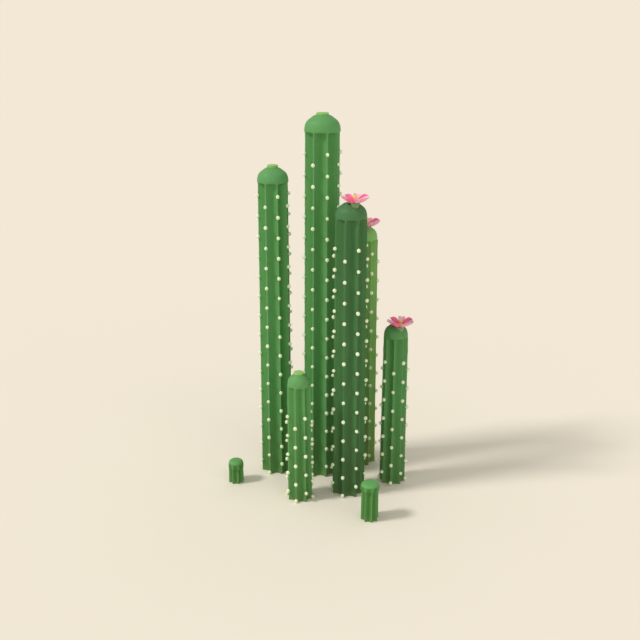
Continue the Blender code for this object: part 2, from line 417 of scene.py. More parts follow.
@cache
def scatter_tree(item: Item) -> NodeTree:
    """The tree that sets one small shape on every point, along the point's "aim".

    Args:
        item: the shape that is set on the points.

    Returns:
        The Geometry Nodes tree.
    """
    graph = new_tree(
        f"Set each {item.value}",
        {"Width": 0.03, "Height": 0.04, "Depth": 0.02, "Variation": 0.1, "Sides": 8, "Seed": 1},
    )
    size = graph.given
    if item is Item.CUSHION:
        inputs = {"Segments": size("Sides"), "Rings": 6, "Radius": 0.5}
        shape = graph.node("GeometryNodeMeshUVSphere", inputs)
    else:
        inputs = {"Vertices": size("Sides"), "Radius Top": 0.0, "Radius Bottom": 0.5, "Depth": 1.0}
        shape = graph.node("GeometryNodeMeshCone", inputs)
    extent = graph.vector(size("Width"), size("Height"), size("Depth"))
    sized = graph.node("GeometryNodeTransform", {"Geometry": shape, "Scale": extent})
    aim = graph.node("GeometryNodeInputNamedAttribute", {"Name": "aim"}, data_type="FLOAT_VECTOR")
    align = "FunctionNodeAlignRotationToVector"
    out = graph.node(align, {"Vector": aim}, axis="Z")
    turned = graph.node(align, {"Rotation": out, "Vector": tuple(UP)}, axis="Y", pivot_axis="Z")
    own = graph.field("GeometryNodeInputNamedAttribute", {"Name": "size"}, data_type="FLOAT")
    spread = size("Variation")
    inputs = {"Min": 1.0 - spread, "Max": spread + 1.0, "Seed": size("Seed")}
    chance = graph.field("FunctionNodeRandomValue", inputs, out="Value", data_type="FLOAT")
    inputs = {"Points": size("Geometry"), "Instance": sized, "Rotation": turned, "Scale": own * chance}
    return end_tree(graph, graph.node("GeometryNodeInstanceOnPoints", inputs))


@cache
def mottle_group() -> NodeTree:
    """Broad and fine variation of a colour, with the mask that made it.

    Returns:
        The shader node group.
    """
    graph = new_group(
        Kind.SHADER,
        "Mottle",
        {"Color": (0.5, 0.5, 0.5, 1.0), "Broad Scale": 6.0, "Fine Scale": 60.0, "Amount": 0.15},
        {"Color": "NodeSocketColor", "Mask": "NodeSocketFloat"},
    )
    spot = graph.spot()
    broad = graph.noise(spot, graph.given("Broad Scale"), 3.0)
    fine = graph.noise(spot, graph.given("Fine Scale"))
    mask = broad * BROAD_SHARE + fine * (1.0 - BROAD_SHARE)
    shift = (mask - 0.5) * 2.0 * graph.given("Amount") + 1.0
    inputs = {0: graph.given("Color"), "Scale": shift}
    color = graph.node("ShaderNodeVectorMath", inputs, operation="SCALE")
    graph.node("NodeGroupOutput", {"Color": color, "Mask": mask})
    return graph.tree


@cache
def grain_group() -> NodeTree:
    """A normal roughened by coarse and fine noise.

    Returns:
        The shader node group.
    """
    inputs = {"Scale": 80.0, "Depth": 0.001, "Coarse": 0.5}
    graph = new_group(Kind.SHADER, "Grain", inputs, {"Normal": "NodeSocketVector"})
    spot = graph.spot()
    scale = graph.given("Scale")
    fine = graph.noise(spot, scale, 3.0)
    height = fine.toward(graph.noise(spot, scale * COARSE_SCALE), graph.given("Coarse"))
    bump = graph.node("ShaderNodeBump", {"Distance": graph.given("Depth"), "Height": height})
    graph.node("NodeGroupOutput", {"Normal": bump})
    return graph.tree


# ---------- finishes


@dataclass(frozen=True)
class Mottle:
    """How a colour varies: the scales of its broad and fine noise, and by what share."""

    broad: float = 20.0
    fine: float = 160.0
    amount: float = 0.15

    def place(self, graph: Graph, color: object) -> tuple[NodeSocket, Field]:
        """Places the mottle group in a material.

        Args:
            graph: the material's graph.
            color: the colour before it varies.

        Returns:
            The varied colour, and the mask that made it.
        """
        scales = {"Broad Scale": self.broad, "Fine Scale": self.fine}
        inputs = {"Color": color, **scales, "Amount": self.amount}
        made = graph.node("ShaderNodeGroup", inputs, node_tree=mottle_group())
        return made.outputs["Color"], Field(graph, made.outputs["Mask"])


@dataclass(frozen=True)
class Grain:
    """How rough a surface feels: the scale of its noise, its depth, and the coarse noise's share."""

    scale: float = 400.0
    depth: float = 0.0006
    coarse: float = 0.3

    def place(self, graph: Graph) -> NodeSocket:
        """Places the grain group in a material and gives its normal."""
        inputs = {"Scale": self.scale, "Depth": self.depth, "Coarse": self.coarse}
        return graph.node("ShaderNodeGroup", inputs, node_tree=grain_group()).outputs["Normal"]


@dataclass(frozen=True, kw_only=True)
class Finish:
    """Mottled colour and fine grain, with a roughness that swings with the mottle."""

    color: Color
    roughness: float = 0.6
    swing: float = 0.2
    sheen: float = 0.0
    mottle: Mottle = Mottle()
    grain: Grain = Grain()

    def gloss(self) -> dict[str, object]:
        """What is the same all over the finish, by the shader's input."""
        return {"Sheen Weight": self.sheen, "Sheen Roughness": 0.4}

    def colors(self, graph: Graph) -> tuple[NodeSocket, Field]:
        """The mottled colour, and the mottle's mask."""
        return self.mottle.place(graph, linear(self.color))

    def material(self, name: str) -> Material:
        """Makes the finish's material.

        Args:
            name: the material's name.

        Returns:
            The material.
        """
        made = bpy.data.materials.new(name)
        made.use_nodes = True
        graph = Graph(made.node_tree)
        inputs = made.node_tree.nodes["Principled BSDF"].inputs
        for label, value in {"Roughness": self.roughness, **self.gloss()}.items():
            inputs[label].default_value = value
        color, mask = self.colors(graph)
        graph.feed(inputs["Base Color"], color)
        if self.swing:
            graph.feed(inputs["Roughness"], mask * self.swing + (self.roughness - self.swing / 2))
        graph.feed(inputs["Normal"], self.grain.place(graph))
        return made


@dataclass(frozen=True, kw_only=True)
class Skin(Finish):
    """Waxy ribbed skin: the colour of its flanks, and those of its crests, groove floors and cap, where
    the crests carry a painted highlight, the groove floors painted shade and the cap painted top light.
    """

    crest: Color
    groove: Color
    cap: Color
    roughness: float = 0.52
    swing: float = 0.16
    mottle: Mottle = Mottle(3.5, 45.0, 0.16)
    grain: Grain = Grain(150.0, 0.0016, 0.45)

    # How fast the groove floor's painted shade gives way to the flank's colour, and how fast the crest's
    # painted highlight comes in
    FLANK_RATE = 2.2
    CREST_RATE = 5.0
    # Painted shade and warm bounce light near the ground, partly also the older skin's duller colour:
    # the skin grows darker and more olive from this height down to the ground
    AGE_AND_SHADE_HEIGHT = 1.15
    AGED_AND_SHADED = (0.90, 0.75, 0.72, 1.0)
    STREAKS = (124, 176, 104)
    STREAK_SCALE = (38.0, 38.0, 3.0)
    STREAK_START = 0.52
    STREAK_SHARE = 0.5
    SPECKS = (150, 204, 136)
    SPECK_SCALE = 260.0
    SPECK_EDGE = 4.5
    SPECK_SHARE = 0.25
    # Dust from the ground thins out by this rate to the metre
    DUST = (138, 146, 88)
    DUST_RATE = 14.0
    DUST_SHARE = 0.5

    def colors(self, graph: Graph) -> tuple[NodeSocket, Field]:
        """Colours the ribs and the cap, with painted highlights on the crests, painted shade in the
        groove floors and painted top light on the cap, then darkens them towards the ground with painted
        shade that is partly older skin, and mottles, streaks, specks and dusts them.

        Args:
            graph: the material's graph.

        Returns:
            The colour, and the mottle's mask.
        """
        high, cap = (graph.attribute(name) for name in ("crest", "cap"))
        # The groove floor's colour is painted shade, and the crest's colour a painted highlight
        on_flank = (high * self.FLANK_RATE).clamped()
        on_crest = (high * self.CREST_RATE - (self.CREST_RATE - 1.0)).clamped().eased()
        low = graph.blended(linear(self.groove), linear(self.color), on_flank)
        ribbed = graph.blended(low, linear(self.crest), on_crest)
        # The cap's colour is painted top light: lighter where the dome faces up to the light
        whole = graph.blended(ribbed, linear(self.cap), cap.eased())
        spot = graph.spot()
        height = graph.field("ShaderNodeSeparateXYZ", {0: spot}, out=2)
        # Painted ground shade and bounce light, partly older skin: darker and more olive towards the
        # ground
        age_and_shade = graph.blended(WHITE, self.AGED_AND_SHADED, (1.0 - height * (1 / self.AGE_AND_SHADE_HEIGHT)).clamped())
        aged_and_shaded = graph.node("ShaderNodeVectorMath", {0: whole, 1: age_and_shade}, operation="MULTIPLY")
        mottled, mask = self.mottle.place(graph, aged_and_shaded)
        drawn_out = graph.node("ShaderNodeMapping", {"Vector": spot, "Scale": self.STREAK_SCALE})
        streaks = graph.noise(drawn_out, 1.0)
        paler = (streaks - self.STREAK_START).clamped() * self.STREAK_SHARE
        streaked = graph.blended(mottled, linear(self.STREAKS), paler)
        inputs = {"Vector": spot, "Scale": self.SPECK_SCALE}
        specks = graph.field("ShaderNodeTexVoronoi", inputs, out="Distance")
        speckle = (1.0 - specks * self.SPECK_EDGE).clamped() * self.SPECK_SHARE
        dotted = graph.blended(streaked, linear(self.SPECKS), speckle)
        worn = (1.0 - height * self.DUST_RATE).clamped() * mask * self.DUST_SHARE
        return graph.blended(dotted, linear(self.DUST), worn), mask

    def gloss(self) -> dict[str, object]:
        """A dull wax."""
        return {"Specular IOR Level": 0.22}


@dataclass(frozen=True, kw_only=True)
class Petal(Finish):
    """Waxy petal: its colour is the inner face's, and a little light comes through."""

    outer: Color
    roughness: float = 0.55
    swing: float = 0.0
    mottle: Mottle = Mottle(18.0, 120.0, 0.08)
    grain: Grain = Grain(300.0, 0.0005)

    def colors(self, graph: Graph) -> tuple[NodeSocket, Field]:
        """The colours of its two faces, mottled, and the mottle's mask."""
        both = graph.blended(linear(self.color), linear(self.outer), graph.attribute("under"))
        return self.mottle.place(graph, both)

    def gloss(self) -> dict[str, object]:
        """The light that comes through the petal."""
        glow = {"Weight": 0.35, "Scale": 0.02, "Radius": (1.0, 0.45, 0.6)}
        return {f"Subsurface {label}": value for label, value in glow.items()}


# Each skin's crest colour is a painted highlight, its groove colour painted shade and its cap colour
# painted top light
MID_SKIN = Skin(color=(86, 149, 84), crest=(106, 160, 102), groove=(75, 140, 69), cap=(95, 158, 93))
SHORT_SKIN = Skin(color=(88, 150, 83), crest=(105, 162, 99), groove=(75, 137, 68), cap=(99, 158, 92))
RIGHT_SKIN = Skin(color=(87, 147, 83), crest=(101, 153, 97), groove=(72, 133, 68), cap=(88, 147, 86))
DARK_SKIN = Skin(color=(66, 118, 66), crest=(74, 115, 71), groove=(62, 105, 58), cap=(73, 120, 75))
OLIVE_SKIN = Skin(
    color=(122, 172, 92), crest=(128, 174, 97), groove=(108, 157, 78), cap=(127, 183, 101)
)
YOUNG_SKIN = Skin(
    color=(86, 155, 78), crest=(105, 168, 102), groove=(65, 132, 57), cap=(103, 176, 100)
)
FELT = Finish(
    color=(240, 253, 218), roughness=0.95, sheen=0.15,
    mottle=Mottle(40.0, 300.0, 0.12), grain=Grain(500.0, 0.0012),
)
SPINE_HORN = Finish(color=(236, 240, 200), roughness=0.55, mottle=Mottle(30.0, 200.0, 0.18))
TIP_GREEN = Finish(color=(140, 188, 104))
BUD_GREEN = Finish(color=(156, 204, 118), roughness=0.65)
TUBE_GREEN = Finish(color=(118, 152, 102))
SCALE_GREEN = Finish(color=(128, 162, 108))
LIGHT_PETAL = Petal(color=(255, 190, 211), outer=(255, 178, 201))
DEEP_PETAL = Petal(color=(255, 114, 163), outer=(255, 110, 156))
POLLEN = Finish(color=(255, 218, 100), roughness=0.8, sheen=0.2, mottle=Mottle(60.0, 400.0, 0.16))
FILAMENT = Finish(color=(246, 214, 140), roughness=0.7)


# ---------- meshes


def new_object(name: str, data: bpy.types.ID) -> Object:
    """Links a new object to the scene, at the origin.

    Args:
        name: the object's name.
        data: its mesh, light or camera.

    Returns:
        The object.
    """
    obj = bpy.data.objects.new(name, data)
    bpy.context.scene.collection.objects.link(obj)
    return obj


def plain(obj: Object, skin: Material | None = None, sharp: float = 60.0) -> Object:
    """Turns an object's modifiers into a plain mesh with its faces outward.

    Args:
        obj: the object, which keeps its name.
        skin: its material, where its modifiers don't set one.
        sharp: edges with a larger angle than this stay sharp, in degrees.

    Returns:
        The same object.
    """
    graph = bpy.context.evaluated_depsgraph_get()
    mesh = bpy.data.meshes.new_from_object(obj.evaluated_get(graph))
    obj.modifiers.clear()
    obj.data = mesh
    mesh.name = obj.name
    skins = [skin] if skin else [found for found in mesh.materials if found]
    mesh.materials.clear()
    for found in skins:
        mesh.materials.append(found)
    mesh.polygons.foreach_set("material_index", [0] * len(mesh.polygons))
    work = bmesh.new()
    work.from_mesh(mesh)
    bmesh.ops.recalc_face_normals(work, faces=work.faces)
    work.to_mesh(mesh)
    work.free()
    mesh.shade_smooth()
    mesh.set_sharp_from_angle(angle=math.radians(sharp))
    return obj


def grown(name: str, mesh: Mesh, tree: NodeTree, values: dict[str, object]) -> Object:
    """Runs a tree on a mesh and returns the result as a plain piece.

    Args:
        name: the piece's name.
        mesh: what the tree starts from.
        tree: a Geometry Nodes tree.
        values: a value for each of the tree's named inputs.

    Returns:
        The piece, with no modifier left.
    """
    obj = new_object(name, mesh)
    modifier = obj.modifiers.new("grow", "NODES")
    modifier.node_group = tree
    sockets = {s.name: s.identifier for s in tree.interface.items_tree if s.in_out == "INPUT"}
    for label, value in values.items():
        modifier[sockets[label]] = value
    return plain(obj)


def rounded(profile: Sequence[Span]) -> list[Span]:
    """Cuts a profile's corners, with its two ends kept.

    Args:
        profile: pairs of radius and level.

    Returns:
        The rounded profile.
    """
    points = [Vector(point) for point in profile]
    for _ in range(CORNER_CUTS):
        inner = []
        for first, second in zip(points, points[1:]):
            inner += [first.lerp(second, 0.25), first.lerp(second, 0.75)]
        points = [points[0], *inner[1:-1], points[-1]]
    return [(point.x, point.y) for point in points]


def turned_piece(
    name: str, center: Vector, profile: Sequence[Span], sides: int, finish: Finish
) -> Object:
    """A closed piece turned about an upright axis.

    Args:
        name: the piece's name.
        center: where level 0 of the axis stands.
        profile: pairs of radius and level, from pole to pole, with its corners still sharp.
        sides: how many flats go round.
        finish: the piece's finish.

    Returns:
        The piece.
    """
    work = bmesh.new()
    turns = [2 * math.pi * i / sides for i in range(sides)]
    rings = []
    for radius, level in rounded(profile):
        if radius == 0.0:
            rings.append([work.verts.new(center + UP * level)] * sides)
            continue
        spots = (Vector((radius * math.cos(t), radius * math.sin(t), level)) for t in turns)
        rings.append([work.verts.new(center + spot) for spot in spots])
    for low, high in zip(rings, rings[1:]):
        for i in range(sides):
            j = (i + 1) % sides
            work.faces.new(dict.fromkeys((low[i], low[j], high[j], high[i])))
    mesh = bpy.data.meshes.new(name)
    work.to_mesh(mesh)
    work.free()
    return plain(new_object(name, mesh), finish.material(name))


def hand_over(piece: Object, node: str) -> None:
    """Fixes a finished piece to the rooted body, in place of its solid, and reports it.

    Args:
        piece: the finished piece.
        node: the solid that it stands for.
    """
    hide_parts(node)
    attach(piece, ROOT_BODY)
    faces = sum(len(polygon.vertices) - 2 for polygon in piece.data.polygons)
    LOG.info("%s: %d triangles, in place of %s", piece.name, faces, node)


# ---------- small shapes, set many times


@dataclass(frozen=True)
class Mark:
    """A point that something small stands on."""

    place: Vector
    aim: Vector
    size: float = 1.0


@dataclass(frozen=True)
class Small:
    """A small shape: its size, how far that varies from one to the next, and its seed."""

    item: Item
    width: float
    height: float
    depth: float
    variation: float
    seed: int
    sides: int = 8

    def set_on(self, marks: Iterable[Mark], name: str, finish: Finish) -> Object:
        """Sets the shape on every mark.

        Args:
            marks: where the shapes stand.
            name: the name of the piece that they make.
            finish: its finish.

        Returns:
            The piece.
        """
        marks = list(marks)
        mesh = bpy.data.meshes.new("marks")
        mesh.from_pydata([mark.place for mark in marks], [], [])
        aims = mesh.attributes.new("aim", "FLOAT_VECTOR", "POINT")
        aims.data.foreach_set("vector", [v for mark in marks for v in mark.aim])
        sizes = mesh.attributes.new("size", "FLOAT", "POINT")
        sizes.data.foreach_set("value", [mark.size for mark in marks])
        extent = {"Width": self.width, "Height": self.height, "Depth": self.depth}
        spread = {"Variation": self.variation, "Sides": self.sides, "Seed": self.seed}
        values = {**extent, **spread, "Material": finish.material(name)}
        return grown(name, mesh, scatter_tree(self.item), values)


# ---------- stems


@dataclass(frozen=True)
class Areole:
    """A felted cushion, with a star of spines round a few middle ones.

    Spines root at a share of the cushion's depth, and the star's on a ring. Jitter is a share of the
    step from one to the next, lift is in degrees, and droop and sway are slopes.
    """

    cushion: Small = Small(Item.CUSHION, 0.040, 0.045, 0.040, 0.10, 0)
    spine: Small = Small(Item.SPINE, 0.0026, 0.0026, 0.021, 0.12, 0, sides=4)
    radial_spines: int = 11
    central_spines: int = 3
    star: float = 0.010
    radial_root: float = 0.25
    central_root: float = 0.3
    jitter: Span = (-0.25, 0.25)
    lift: Span = (22.0, 42.0)
    radial_size: Span = (0.7, 1.0)
    droop: Span = (-0.5, 0.25)
    sway: Span = (-0.35, 0.35)
    central_size: Span = (0.8, 1.1)

    def spines(self, place: Vector, out: Vector, chance: random.Random) -> Iterator[Mark]:
        """Where each spine of one areole stands and the way it points.

        Args:
            place: the middle of the cushion.
            out: the way out from its crest.
            chance: the stem's own random numbers.

        Yields:
            The radial spines, then the middle ones.
        """
        along = UP.cross(out)
        for i in range(self.radial_spines):
            turn = 2 * math.pi * (i + chance.uniform(*self.jitter)) / self.radial_spines
            lift = math.radians(chance.uniform(*self.lift))
            side = along * math.cos(turn) + UP * math.sin(turn)
            aim = side * math.cos(lift) + out * math.sin(lift)
            root = place + out * self.cushion.depth * self.radial_root + side * self.star
            yield Mark(root, aim, chance.uniform(*self.radial_size))
        for _ in range(self.central_spines):
            slant = Vector((0, 0, chance.uniform(*self.droop))) + along * chance.uniform(*self.sway)
            aim = (out + slant).normalized()
            root = place + out * self.cushion.depth * self.central_root
            yield Mark(root, aim, chance.uniform(*self.central_size))


@dataclass(frozen=True, kw_only=True)
class Stem:
    """One stem: its place, girth and height, how its ribs and areoles are set, and its skin.

    Foot, neck and cap are crest radii at the ground, below the rim and over it. Turn is the first
    rib's bearing from the front in degrees. Low and low_next are the heights of the lowest areole
    on even and on odd ribs, as shares of the areoles' spacing. A shoot has no rows of areoles.
    """

    name: str
    x: float
    y: float
    lean: float = 0.0
    foot: float
    neck: float
    rim: float
    cap: float
    cap_height: float
    turn: float
    skin: Skin
    rows: int = 0
    low: float = 0.0
    low_next: float = 0.0
    areole: Areole = Areole()

    # The lowest an areole's middle stands, as a share of its height, how much longer than its size
    # a spine may turn out, and how near the ground its tip may come
    SEAT_SHARE = 0.56
    SPINE_REACH = 1.15
    SPINE_CLEARANCE = 0.003

    @property
    def top(self) -> float:
        """Height of the cap's top."""
        return self.rim + self.cap_height

    def crest(self, level: float) -> float:
        """Crest radius at a height."""
        return self.foot + (self.neck - self.foot) * min(level / self.rim, 1.0)

    def axis(self, level: float) -> Vector:
        """The point of the stem's axis at a height."""
        return Vector((self.x + self.lean * level / self.rim, self.y, level))

    def areoles(self) -> Iterator[tuple[Vector, Vector]]:
        """Finds every areole.

        Yields:
            Its place on its crest, and the way out from it.
        """
        for rib in range(RIBS):
            bearing = math.radians(self.turn) + rib * PITCH
            out = Vector((math.sin(bearing), -math.cos(bearing), 0.0))
            low = self.low_next if rib % 2 else self.low
            for row in range(self.rows):
                level = (low + row) * AREOLE_SPACING - AREOLE_DROP
                level = max(level, self.areole.cushion.height * self.SEAT_SHARE)
                yield self.axis(level) + out * (self.crest(level) * CREST_FLAT + AREOLE_PROUD), out

    def skin_piece(self) -> Object:
        """Makes the ribbed skin, from the foot to the cap's top.

        Returns:
            The piece.
        """
        name = f"{self.name}_skin"
        values = {
            "Body Rows": math.ceil(self.rim / ROW_STEP), "Across": self.x, "Along": self.y,
            "Lean": self.lean, "Foot Radius": self.foot, "Neck Radius": self.neck,
            "Rim Height": self.rim, "Cap Radius": self.cap, "Cap Height": self.cap_height,
            "Turn": math.radians(self.turn), "Lowest Areole": self.low,
            "Next Lowest Areole": self.low_next, "Material": self.skin.material(name),
        }
        if not self.rows:
            values |= {"Cap Fullness": SHOOT_FULLNESS, "Collar": 1.0, "Shoulder": 0.0, "Swelling": 0.0}
        return grown(name, bpy.data.meshes.new("blank"), column_tree(), values)

    def cushion_piece(self) -> Object:
        """The felted cushions of the areoles."""
        cushion = replace(self.areole.cushion, seed=len(self.name))
        return cushion.set_on([Mark(*areole) for areole in self.areoles()], f"{self.name}_areoles", FELT)

    def spine_piece(self) -> Object:
        """Makes every spine of the stem, but for those that would reach the ground.

        Returns:
            The piece.
        """
        chance = random.Random(self.name)
        reach = self.areole.spine.depth * self.SPINE_REACH
        marks = [
            mark
            for place, out in self.areoles()
            for mark in self.areole.spines(place, out, chance)
            if (mark.place + mark.aim * mark.size * reach).z > self.SPINE_CLEARANCE
        ]
        spine = replace(self.areole.spine, seed=self.rows)
        return spine.set_on(marks, f"{self.name}_spines", SPINE_HORN)

    def build(self) -> None:
        """Makes the stem's pieces and hands them over."""
        hand_over(self.skin_piece(), self.name)
        if self.rows:
            hand_over(self.cushion_piece(), self.name)
            hand_over(self.spine_piece(), self.name)


@dataclass(frozen=True)
class GrowthTip:
    """The low drum of closed buds on a stem's crown."""

    name: str
    stem: Stem
    radius: float
    proud: float
    buds: int = 62
    side_buds: int = 26
    bud: Small = Small(Item.CUSHION, 0.014, 0.014, 0.0077, 0.12, 3)

    # The drum's edge, as pairs of a share of its radius and a level
    EDGE = (
        (0.0, -0.05), (0.88, -0.05), (0.95, -0.03), (0.96, -0.016), (0.91, -0.006), (0.70, -0.003),
        (0.0, -0.002),
    )
    SIDE_ROWS = (-0.011, -0.022)
    TOP_REACH = 0.86
    SIDE_REACH = 0.945
    # Buds over the top sink, lie lower and lean out towards the edge, and are smallest in the middle
    SINK = 0.003
    DROP = 0.004
    SLANT = 1.1
    SMALLEST = 0.75

    @property
    def center(self) -> Vector:
        """The middle of the drum's top."""
        return self.stem.axis(self.stem.top + self.proud)

    def bud_marks(self) -> Iterator[Mark]:
        """Places the buds.

        Yields:
            A spiral over the top, then two rows round the side.
        """
        reach = self.radius * self.TOP_REACH
        for i in range(self.buds):
            share = math.sqrt((i + 0.5) / self.buds)
            side = outward(i * GOLDEN_ANGLE)
            aim = (UP + side * self.SLANT * share**4).normalized()
            spot = side * reach * share + UP * (-self.SINK - self.DROP * share**6)
            yield Mark(self.center + spot, aim, self.SMALLEST + (1.0 - self.SMALLEST) * share)
        for row, level in enumerate(self.SIDE_ROWS):
            for side in staggered(self.side_buds, row):
                yield Mark(self.center + side * self.radius * self.SIDE_REACH + UP * level, side)

    def build(self) -> None:
        """Makes the tip's drum and buds and hands them over."""
        edge = [(share * self.radius, level) for share, level in self.EDGE]
        hand_over(turned_piece(f"{self.name}_drum", self.center, edge, 40, TIP_GREEN), self.name)
        hand_over(self.bud.set_on(self.bud_marks(), f"{self.name}_buds", BUD_GREEN), self.name)


@dataclass(frozen=True)
class Flower:
    """A flower on a cap's shoulder: scaly tube, ring of cupped petals, and a brush of stamens.

    It stands right and front of its stem's axis and is lifted over the cap's top. First is the
    first petal's direction in degrees, and petals gives the tones in order, clockwise from above.
    """

    name: str
    stem: Stem
    right: float
    front: float
    lift: float
    first: float = 183.0
    petals: str = "LDLDLLD"
    length: float = 0.150
    rise: float = 0.061
    sweep: float = 1.9
    edge: float = 0.003
    thickness: float = 0.013
    curl: float = 1.5
    midrib: float = 0.0022
    midrib_reach: float = 0.2
    ruffle: float = 0.0016
    roll: float = 5.0
    scales: int = 12
    anthers: int = 110
    scale: Small = Small(Item.CUSHION, 0.021, 0.030, 0.007, 0.08, 5)
    anther: Small = Small(Item.CUSHION, 0.0048, 0.0075, 0.0050, 0.2, 7, sides=6)

    RECEPTACLE = (
        (0.0, 0.0), (0.034, 0.0), (0.040, 0.003), (0.038, 0.008), (0.024, 0.0095), (0.0, 0.0095),
    )
    TUBE = (
        (0.0, -0.062), (0.030, -0.062), (0.032, -0.050), (0.040, -0.020), (0.0435, -0.001), (0.038, 0.0),
        (0.0, 0.0),
    )
    SCALE_ROWS = ((0.032, -0.052), (0.037, -0.034), (0.0425, -0.015))
    SCALE_DROOP = 0.25
    SCALE_SIZES = (0.85, 0.95, 1.05)
    BRUSH = (
        (0.0, 0.0), (0.013, 0.0), (0.018, 0.028), (0.026, 0.050), (0.022, 0.062), (0.008, 0.066),
        (0.0, 0.067),
    )
    # How far the disc, the petals' foot and the filaments' foot lie above the tube's top
    DISC_LIFT = 0.0003
    PETAL_LIFT = 0.0060
    BRUSH_FOOT = 0.0095
    # The anthers' dome: radius, height of its middle, its rise, and the angle that it covers
    DOME_RADIUS = 0.0245
    DOME_LEVEL = 0.051
    DOME_RISE = 0.017
    DOME_ANGLE = math.radians(112)
    # A petal from foot to tip: share of its length, width, and how far its sides curl up for their
    # width, with the places across it where each of its rings has its points
    OUTLINE = (
        (0.08, 0.022, 0.12), (0.18, 0.038, 0.24), (0.30, 0.055, 0.36), (0.46, 0.070, 0.43),
        (0.62, 0.079, 0.43), (0.76, 0.081, 0.38), (0.88, 0.074, 0.29), (0.945, 0.061, 0.22),
        (0.98, 0.044, 0.15), (0.995, 0.027, 0.10), (1.0, 0.012, 0.05),
    )
    SIDES = (-1.0, -0.75, -0.45, -0.15, 0.15, 0.45, 0.75, 1.0)
    # The part of a half wave that its thickness follows, and how its ruffle runs, in radians
    FAT_FOOT = 0.12
    FAT_SPAN = 0.76
    WAVES_ALONG = 19.0
    WAVES_ACROSS = 4.0

    @property
    def seat(self) -> Vector:
        """The top of the floral tube."""
        return self.stem.axis(self.stem.top + self.lift) + Vector((self.right, -self.front, 0.0))

    def petal_rings(self) -> list[list[Vector]]:
        """Shapes one petal that lies along +X.

        Returns:
            Rings from its foot to its tip, each over the upper face, then back under it.
        """
        roll = Matrix.Rotation(math.radians(self.roll), 3, "X")
        rings = []
        for share, width, cup in self.OUTLINE:
            base = self.rise * share**self.sweep
            fat = self.thickness * math.sin(math.pi * (self.FAT_FOOT + self.FAT_SPAN * share))
            upper, under = [], []
            for side in self.SIDES:
                level = base + abs(side) ** self.curl * cup * width
                furrow = math.exp(-((side / self.midrib_reach) ** 2))
                level -= self.midrib * furrow * math.sin(math.pi * share)
                wave = math.sin(share * self.WAVES_ALONG + side * self.WAVES_ACROSS)
                level += self.ruffle * wave * abs(side) ** 3
                spot = Vector((self.length * share, side * width / 2, level))
                upper.append(roll @ spot)
                under.append(roll @ (spot - UP * (self.edge + fat * (1 - side * side))))
            rings.append(upper + under[::-1])
        return rings

    def petal_piece(self, tone: Tone, finish: Petal) -> Object:
        """Makes all the petals of one tone, as one piece.

        Args:
            tone: which of the petals.
            finish: their finish.

        Returns:
            The piece.
        """
        work = bmesh.new()
        mark = work.verts.layers.float.new("under")
        rings = self.petal_rings()
        half = len(self.SIDES)
        root = Matrix.Translation(self.seat + UP * self.PETAL_LIFT)
        for i, letter in enumerate(self.petals):
            if letter != tone.value[0].upper():
                continue
            place = root @ Matrix.Rotation(math.radians(self.first - i * 360 / len(self.petals)), 4, "Z")
            grid = [[work.verts.new(place @ point) for point in ring] for ring in rings]
            for ring in grid:
                for j, vert in enumerate(ring):
                    vert[mark] = float(j >= half)
            for low, high in zip(grid, grid[1:]):
                for j, k in zip(range(len(low)), (*range(1, len(low)), 0)):
                    work.faces.new((low[j], high[j], high[k], low[k]))
            for end in (grid[0], grid[-1]):
                for j in range(half - 1):
                    work.faces.new((end[j], end[j + 1], end[-j - 2], end[-j - 1]))
        mesh = bpy.data.meshes.new("petals")
        work.to_mesh(mesh)
        work.free()
        obj = new_object(f"{self.name}_petals_{tone.value}", mesh)
        soft = obj.modifiers.new("soft", "SUBSURF")
        soft.levels = soft.render_levels = 1
        return plain(obj, finish.material(obj.name), sharp=80.0)

    def scale_marks(self) -> Iterator[Mark]:
        """Places the scales on the tube.

        Yields:
            Three rows of overlapping scales, from the foot up.
        """
        for row, (radius, level) in enumerate(self.SCALE_ROWS):
            for side in staggered(self.scales, row):
                aim = (side - UP * self.SCALE_DROOP).normalized()
                yield Mark(self.seat + side * radius + UP * level, aim, self.SCALE_SIZES[row])

    def anther_marks(self) -> Iterator[Mark]:
        """Places the anthers.

        Yields:
            A spiral over the ends of the filaments, from the middle out and down.
        """
        for i in range(self.anthers):
            side = outward(i * GOLDEN_ANGLE)
            polar = (i + 0.5) / self.anthers * self.DOME_ANGLE
            aim = side * math.sin(polar) + UP * math.cos(polar)
            reach = self.DOME_RADIUS * math.sin(polar)
            spread = Vector((side.x * reach, side.y * reach, 0.0))
            up = UP * (self.DOME_LEVEL + self.DOME_RISE * math.cos(polar))
            yield Mark(self.seat + UP * self.BRUSH_FOOT + spread + up, aim)

    def build(self) -> None:
        """Makes the flower's pieces and hands them over."""
        seat, name = self.seat, self.name
        disc, brush = seat + UP * self.DISC_LIFT, seat + UP * self.BRUSH_FOOT
        pieces = (
            ("tube", turned_piece(f"{name}_floral_tube", seat, self.TUBE, 32, TUBE_GREEN)),
            ("tube", self.scale.set_on(self.scale_marks(), f"{name}_scales", SCALE_GREEN)),
            ("petals", self.petal_piece(Tone.LIGHT, LIGHT_PETAL)),
            ("petals", self.petal_piece(Tone.DEEP, DEEP_PETAL)),
            ("petals", turned_piece(f"{name}_receptacle", disc, self.RECEPTACLE, 32, LIGHT_PETAL)),
            ("stamens", turned_piece(f"{name}_filaments", brush, self.BRUSH, 28, FILAMENT)),
            ("stamens", self.anther.set_on(self.anther_marks(), f"{name}_anthers", POLLEN)),
        )
        for part, piece in pieces:
            hand_over(piece, f"{name}_{part}")


# ---------- studio


